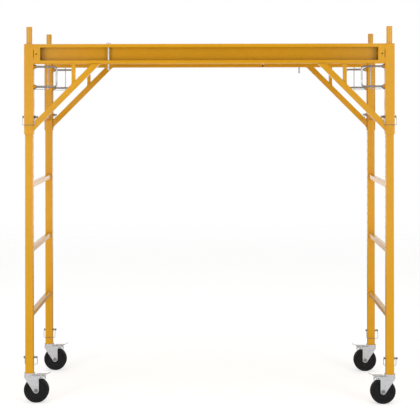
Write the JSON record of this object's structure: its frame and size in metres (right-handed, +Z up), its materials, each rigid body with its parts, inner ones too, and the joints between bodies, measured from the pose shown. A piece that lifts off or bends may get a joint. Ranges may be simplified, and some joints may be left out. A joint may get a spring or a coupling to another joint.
{
  "type": "baker scaffold",
  "caption": "Steel baker scaffold: two ladder end frames on locking casters and a height-adjustable plywood platform held by spring-loaded side-rail locks.",
  "frame": {"origin": "on the floor, below the centre of the rectangle of the four legs", "axes": "+Z up, X along the 6 ft platform, -Y towards the front side rail"},
  "size_m": [1.8975, 0.7636, 1.904],
  "materials": {
    "paint": "semi-gloss orange-yellow powder coat",
    "zinc": "bright zinc plate",
    "spring_steel": "plated spring wire",
    "wheel": "matte black",
    "plywood": "sanded birch plywood"
  },
  "bodies": {
    "end_frames": {"front_left_leg": "paint", "front_right_leg": "paint", "rear_left_leg": "paint", "rear_right_leg": "paint", "left_ladder_rungs": "paint", "right_ladder_rungs": "paint", "stacking_spigots": "paint", "caster_stems": "zinc", "caster_top_plates": "zinc", "caster_lock_pins": "zinc"},
    "platform": {"front_side_rail": "paint", "rear_side_rail": "paint", "front_sleeves": "paint", "rear_sleeves": "paint", "front_braces": "paint", "rear_braces": "paint", "brace_struts": "paint", "rail_end_plates": "paint", "lock_guide_bushes": "paint", "lock_guide_straps": "zinc", "deck_ledges": "paint", "deck_panel": "plywood", "deck_edge_trim": "zinc", "deck_stiffeners": "paint", "deck_screws": "zinc", "sleeve_lock_pins": "zinc", "front_left_lock_springs": "spring_steel", "front_right_lock_springs": "spring_steel", "rear_left_lock_springs": "spring_steel", "rear_right_lock_springs": "spring_steel"},
    "front_left_caster": {"front_left_caster_fork": "zinc", "front_left_caster_fasteners": "zinc"},
    "front_left_wheel": {"front_left_caster_wheel": "wheel"},
    "front_left_brake": {"front_left_brake_lever": "zinc"},
    "front_left_caster_bail": {"front_left_caster_pin_bail": "spring_steel"},
    "front_left_sleeve_bail": {"front_left_sleeve_pin_bail": "spring_steel"},
    "front_left_lock": {"front_left_platform_lock": "zinc"},
    "front_right_caster": {"front_right_caster_fork": "zinc", "front_right_caster_fasteners": "zinc"},
    "front_right_wheel": {"front_right_caster_wheel": "wheel"},
    "front_right_brake": {"front_right_brake_lever": "zinc"},
    "front_right_caster_bail": {"front_right_caster_pin_bail": "spring_steel"},
    "front_right_sleeve_bail": {"front_right_sleeve_pin_bail": "spring_steel"},
    "front_right_lock": {"front_right_platform_lock": "zinc"},
    "rear_left_caster": {"rear_left_caster_fork": "zinc", "rear_left_caster_fasteners": "zinc"},
    "rear_left_wheel": {"rear_left_caster_wheel": "wheel"},
    "rear_left_brake": {"rear_left_brake_lever": "zinc"},
    "rear_left_caster_bail": {"rear_left_caster_pin_bail": "spring_steel"},
    "rear_left_sleeve_bail": {"rear_left_sleeve_pin_bail": "spring_steel"},
    "rear_left_lock": {"rear_left_platform_lock": "zinc"},
    "rear_right_caster": {"rear_right_caster_fork": "zinc", "rear_right_caster_fasteners": "zinc"},
    "rear_right_wheel": {"rear_right_caster_wheel": "wheel"},
    "rear_right_brake": {"rear_right_brake_lever": "zinc"},
    "rear_right_caster_bail": {"rear_right_caster_pin_bail": "spring_steel"},
    "rear_right_sleeve_bail": {"rear_right_sleeve_pin_bail": "spring_steel"},
    "rear_right_lock": {"rear_right_platform_lock": "zinc"},
    "front_latch": {"front_deck_latch": "zinc"},
    "rear_latch": {"rear_deck_latch": "zinc"}
  },
  "joints": [
    {"name": "platform_height", "type": "slide", "parent": "end_frames", "child": "platform", "axis": [0, 0, 1], "range_m": [-0.9144, 0]},
    {"name": "front_left_caster_swivel", "type": "hinge", "parent": "end_frames", "child": "front_left_caster", "pos_m": [-0.911, -0.35, 0.142], "axis": [0, 0, 1], "continuous": true},
    {"name": "front_left_wheel_spin", "type": "hinge", "parent": "front_left_caster", "child": "front_left_wheel", "pos_m": [-0.876, -0.35, 0.0635], "axis": [0, 1, 0], "continuous": true},
    {"name": "front_left_brake_pedal", "type": "hinge", "parent": "front_left_caster", "child": "front_left_brake", "pos_m": [-0.851, -0.35, 0.131], "axis": [0, 1, 0], "range_deg": [0, 11]},
    {"name": "front_left_caster_bail_swing", "type": "hinge", "parent": "end_frames", "child": "front_left_caster_bail", "pos_m": [-0.911, -0.35, 0.2286], "axis": [1, 0, 0], "range_deg": [0, 110]},
    {"name": "front_left_sleeve_bail_swing", "type": "hinge", "parent": "platform", "child": "front_left_sleeve_bail", "pos_m": [-0.911, -0.35, 1.4478], "axis": [-1, 0, 0], "range_deg": [0, 110]},
    {"name": "front_left_lock_pull", "type": "slide", "parent": "platform", "child": "front_left_lock", "axis": [1, 0, 0], "range_m": [0, 0.042], "stiffness_N_per_m": 700, "springref_m": -0.02, "deforming": ["front_left_lock_springs"]},
    {"name": "front_right_caster_swivel", "type": "hinge", "parent": "end_frames", "child": "front_right_caster", "pos_m": [0.911, -0.35, 0.142], "axis": [0, 0, 1], "continuous": true},
    {"name": "front_right_wheel_spin", "type": "hinge", "parent": "front_right_caster", "child": "front_right_wheel", "pos_m": [0.876, -0.35, 0.0635], "axis": [0, 1, 0], "continuous": true},
    {"name": "front_right_brake_pedal", "type": "hinge", "parent": "front_right_caster", "child": "front_right_brake", "pos_m": [0.851, -0.35, 0.131], "axis": [0, -1, 0], "range_deg": [0, 11]},
    {"name": "front_right_caster_bail_swing", "type": "hinge", "parent": "end_frames", "child": "front_right_caster_bail", "pos_m": [0.911, -0.35, 0.2286], "axis": [1, 0, 0], "range_deg": [0, 110]},
    {"name": "front_right_sleeve_bail_swing", "type": "hinge", "parent": "platform", "child": "front_right_sleeve_bail", "pos_m": [0.911, -0.35, 1.4478], "axis": [-1, 0, 0], "range_deg": [0, 110]},
    {"name": "front_right_lock_pull", "type": "slide", "parent": "platform", "child": "front_right_lock", "axis": [-1, 0, 0], "range_m": [0, 0.042], "stiffness_N_per_m": 700, "springref_m": -0.02, "deforming": ["front_right_lock_springs"]},
    {"name": "rear_left_caster_swivel", "type": "hinge", "parent": "end_frames", "child": "rear_left_caster", "pos_m": [-0.911, 0.35, 0.142], "axis": [0, 0, 1], "continuous": true},
    {"name": "rear_left_wheel_spin", "type": "hinge", "parent": "rear_left_caster", "child": "rear_left_wheel", "pos_m": [-0.876, 0.35, 0.0635], "axis": [0, 1, 0], "continuous": true},
    {"name": "rear_left_brake_pedal", "type": "hinge", "parent": "rear_left_caster", "child": "rear_left_brake", "pos_m": [-0.851, 0.35, 0.131], "axis": [0, 1, 0], "range_deg": [0, 11]},
    {"name": "rear_left_caster_bail_swing", "type": "hinge", "parent": "end_frames", "child": "rear_left_caster_bail", "pos_m": [-0.911, 0.35, 0.2286], "axis": [-1, 0, 0], "range_deg": [0, 110]},
    {"name": "rear_left_sleeve_bail_swing", "type": "hinge", "parent": "platform", "child": "rear_left_sleeve_bail", "pos_m": [-0.911, 0.35, 1.4478], "axis": [1, 0, 0], "range_deg": [0, 110]},
    {"name": "rear_left_lock_pull", "type": "slide", "parent": "platform", "child": "rear_left_lock", "axis": [1, 0, 0], "range_m": [0, 0.042], "stiffness_N_per_m": 700, "springref_m": -0.02, "deforming": ["rear_left_lock_springs"]},
    {"name": "rear_right_caster_swivel", "type": "hinge", "parent": "end_frames", "child": "rear_right_caster", "pos_m": [0.911, 0.35, 0.142], "axis": [0, 0, 1], "continuous": true},
    {"name": "rear_right_wheel_spin", "type": "hinge", "parent": "rear_right_caster", "child": "rear_right_wheel", "pos_m": [0.876, 0.35, 0.0635], "axis": [0, 1, 0], "continuous": true},
    {"name": "rear_right_brake_pedal", "type": "hinge", "parent": "rear_right_caster", "child": "rear_right_brake", "pos_m": [0.851, 0.35, 0.131], "axis": [0, -1, 0], "range_deg": [0, 11]},
    {"name": "rear_right_caster_bail_swing", "type": "hinge", "parent": "end_frames", "child": "rear_right_caster_bail", "pos_m": [0.911, 0.35, 0.2286], "axis": [-1, 0, 0], "range_deg": [0, 110]},
    {"name": "rear_right_sleeve_bail_swing", "type": "hinge", "parent": "platform", "child": "rear_right_sleeve_bail", "pos_m": [0.911, 0.35, 1.4478], "axis": [1, 0, 0], "range_deg": [0, 110]},
    {"name": "rear_right_lock_pull", "type": "slide", "parent": "platform", "child": "rear_right_lock", "axis": [-1, 0, 0], "range_m": [0, 0.042], "stiffness_N_per_m": 700, "springref_m": -0.02, "deforming": ["rear_right_lock_springs"]},
    {"name": "front_latch_turn", "type": "hinge", "parent": "platform", "child": "front_latch", "pos_m": [-0.508, -0.355, 1.75], "axis": [0, 0, 1], "range_deg": [0, 90]},
    {"name": "rear_latch_turn", "type": "hinge", "parent": "platform", "child": "rear_latch", "pos_m": [0.508, 0.355, 1.75], "axis": [0, 0, 1], "range_deg": [0, 90]}
  ]
}
